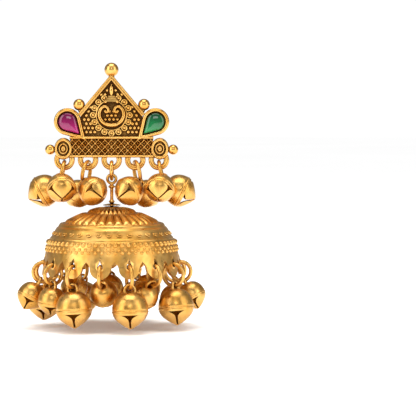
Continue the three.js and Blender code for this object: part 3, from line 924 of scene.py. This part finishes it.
class JHUMKA_OT_fringe(bpy.types.Operator):
    """Makes the jump rings and bells that hang from the dome's edge"""

    bl_idname = "jhumka.fringe"
    bl_label = "Fringe of bells"

    def execute(self, context):
        metal = gold("satin gold of the fringe", 1.0, 0.2, 0.33, 0.06)
        for hole, ((radius, reach), lean, out, side) in enumerate(FRINGE):
            hoop = fringe_hoop(hole, reach, lean)
            around = azimuth(hole)
            outward = np.array([math.sin(around), -math.cos(around), 0])
            sideways = np.array([math.cos(around), math.sin(around), 0])
            tip = -np.array([0, 0, 1.0]) + math.tan(math.radians(out)) * outward
            tip = tip + math.tan(math.radians(side)) * sideways
            slit = context.scene.jhumka_sizes.slit_width
            heap, basis, seam = hang(hoop, out * FOLLOW - lean, tip, radius, FRONT, 60, slit)
            if hole == HOLES - 1:
                heap.take(self.vent(radius).moved(basis, seam))
            number = f"{hole + 1:02d}"
            make(f"wire_rim_ring_{number}", hoop_heap(hoop), metal, "drop",
                 [f"rim_ring_{number}"])
            make(f"cut_rim_bell_{number}", heap, metal, "drop", [f"rim_bell_{number}"], 60)
        return {"FINISHED"}

    def vent(self, radius):
        """A small rimmed hole on a bell's shoulder: a torus laid square to the shoulder."""
        heap = Heap()
        normal = unit([0.75, -0.45, 0.75])
        side = unit(np.cross(normal, [0, 0, 1.0]))
        heap.grid(ring(0.5, 0.2, 24, 10), around=True, along=True)
        heap.grid(balls([0, -0.12, 0], 0.3), around=True)
        basis = np.stack([side, -normal, np.cross(side, normal)])
        return heap.moved(basis, normal * radius * 0.98)


class JHUMKA_OT_stage(bpy.types.Operator):
    """Makes the floor, the lights and the camera"""

    bl_idname = "jhumka.stage"
    bl_label = "Studio"

    def execute(self, context):
        lowest = CAD_BOX[0][2] - 1.2 * MM
        self.floor(lowest)
        self.world(context.scene)
        softboxes = (
            ("left softbox", (-0.34, -0.22, 0.16), 0.26, 0.42, 0.85),
            ("right softbox", (0.36, -0.2, 0.14), 0.22, 0.42, 0.62),
            ("top softbox", (0.0, -0.05, 0.42), 0.36, 0.3, 1.1),
            ("front fill", (0.02, -0.62, 0.3), 0.3, 0.16, 0.5),
        )
        for name, place, wide, high, watts in softboxes:
            self.softbox(name, place, wide, high, watts)
        data = bpy.data.cameras.new("camera")
        data.lens = 175.0
        data.sensor_width = 36.0
        camera = bpy.data.objects.new("camera", data)
        context.scene.collection.objects.link(camera)
        camera.location = (0.0214, -0.45, 0.0)
        aim = Vector((0.0214, 0.0, -0.0206)) - camera.location
        camera.rotation_euler = aim.to_track_quat("-Z", "Y").to_euler()
        context.scene.camera = camera
        context.scene.view_settings.view_transform = "Standard"
        return {"FINISHED"}

    def floor(self, height):
        """A wide pale sheet, lying flat."""
        x, y = np.meshgrid(np.linspace(-4, 4, 5), np.linspace(-4, 4, 5))
        points = np.stack([x, y, np.full_like(x, height)], -1).reshape(-1, 3)
        index = np.arange(25).reshape(5, 5)
        quads = np.stack([index[:-1, :-1], index[:-1, 1:], index[1:, 1:], index[1:, :-1]], -1)
        mesh = bpy.data.meshes.new("floor")
        mesh.from_pydata(points.tolist(), [], quads.reshape(-1, 4).tolist())
        material = bpy.data.materials.new("pale floor")
        tree, shader = nodes_of(material)
        shader.inputs["Roughness"].default_value = 0.9
        shader.inputs["Specular IOR Level"].default_value = 0.0
        pale = ramp(tree, noise(tree, 3.0), 0.2, 0.8, 0.0, 1.0)
        link(tree, blend_colours(tree, pale, (0.95, 0.95, 0.95), (0.97, 0.97, 0.97)),
             shader.inputs["Base Color"])
        mesh.materials.append(material)
        sheet = bpy.data.objects.new("floor", mesh)
        bpy.context.scene.collection.objects.link(sheet)

    def world(self, scene):
        """White to the camera, and a dimmer room in the metal's reflections."""
        world = bpy.data.worlds.new("studio")
        scene.world = world
        world.use_nodes = True
        tree = world.node_tree
        room = tree.nodes["Background"]
        room.inputs["Color"].default_value = (0.82, 0.8, 0.77, 1)
        room.inputs["Strength"].default_value = 0.36
        white = tree.nodes.new("ShaderNodeBackground")
        white.inputs["Color"].default_value = (1, 1, 1, 1)
        white.inputs["Strength"].default_value = 1.03
        rays = tree.nodes.new("ShaderNodeLightPath")
        choose = tree.nodes.new("ShaderNodeMixShader")
        link(tree, rays.outputs["Is Glossy Ray"], choose.inputs[0])
        link(tree, white.outputs[0], choose.inputs[1])
        link(tree, room.outputs[0], choose.inputs[2])
        link(tree, choose.outputs[0], tree.nodes["World Output"].inputs["Surface"])

    def softbox(self, name, place, wide, high, watts):
        """An area light that faces the earring's middle."""
        data = bpy.data.lights.new(name, "AREA")
        data.shape = "RECTANGLE"
        data.size = wide
        data.size_y = high
        data.energy = watts
        lamp = bpy.data.objects.new(name, data)
        bpy.context.scene.collection.objects.link(lamp)
        lamp.location = place
        aim = Vector((0.0, 0.0, -0.02)) - lamp.location
        lamp.rotation_euler = aim.to_track_quat("-Z", "Y").to_euler()


class JHUMKA_PT_panel(bpy.types.Panel):
    """Lists the earring's pieces in the sidebar"""

    bl_idname = "JHUMKA_PT_panel"
    bl_label = "Jhumka earring"
    bl_space_type = "VIEW_3D"
    bl_region_type = "UI"
    bl_category = "Jhumka"

    def draw(self, context):
        for settings in (context.scene.jhumka_sizes, context.scene.jhumka_colours):
            for name in settings.__annotations__:
                self.layout.prop(settings, name)
        for operator in OPERATORS:
            self.layout.operator(operator.bl_idname)


OPERATORS = (
    JHUMKA_OT_plaque, JHUMKA_OT_stones, JHUMKA_OT_link, JHUMKA_OT_dome, JHUMKA_OT_upper_row, JHUMKA_OT_fringe,
    JHUMKA_OT_stage,
)
CLASSES = (JHUMKA_sizes, JHUMKA_colours, *OPERATORS, JHUMKA_PT_panel)


def register():
    for item in CLASSES:
        bpy.utils.register_class(item)
    bpy.types.Scene.jhumka_sizes = bpy.props.PointerProperty(type=JHUMKA_sizes)
    bpy.types.Scene.jhumka_colours = bpy.props.PointerProperty(type=JHUMKA_colours)


def unregister():
    del bpy.types.Scene.jhumka_colours
    del bpy.types.Scene.jhumka_sizes
    for item in reversed(CLASSES):
        bpy.utils.unregister_class(item)


def main():
    """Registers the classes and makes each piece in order."""
    register()
    for operator in OPERATORS:
        group, name = operator.bl_idname.split(".")
        getattr(getattr(bpy.ops, group), name)()


if __name__ == "__main__":
    main()
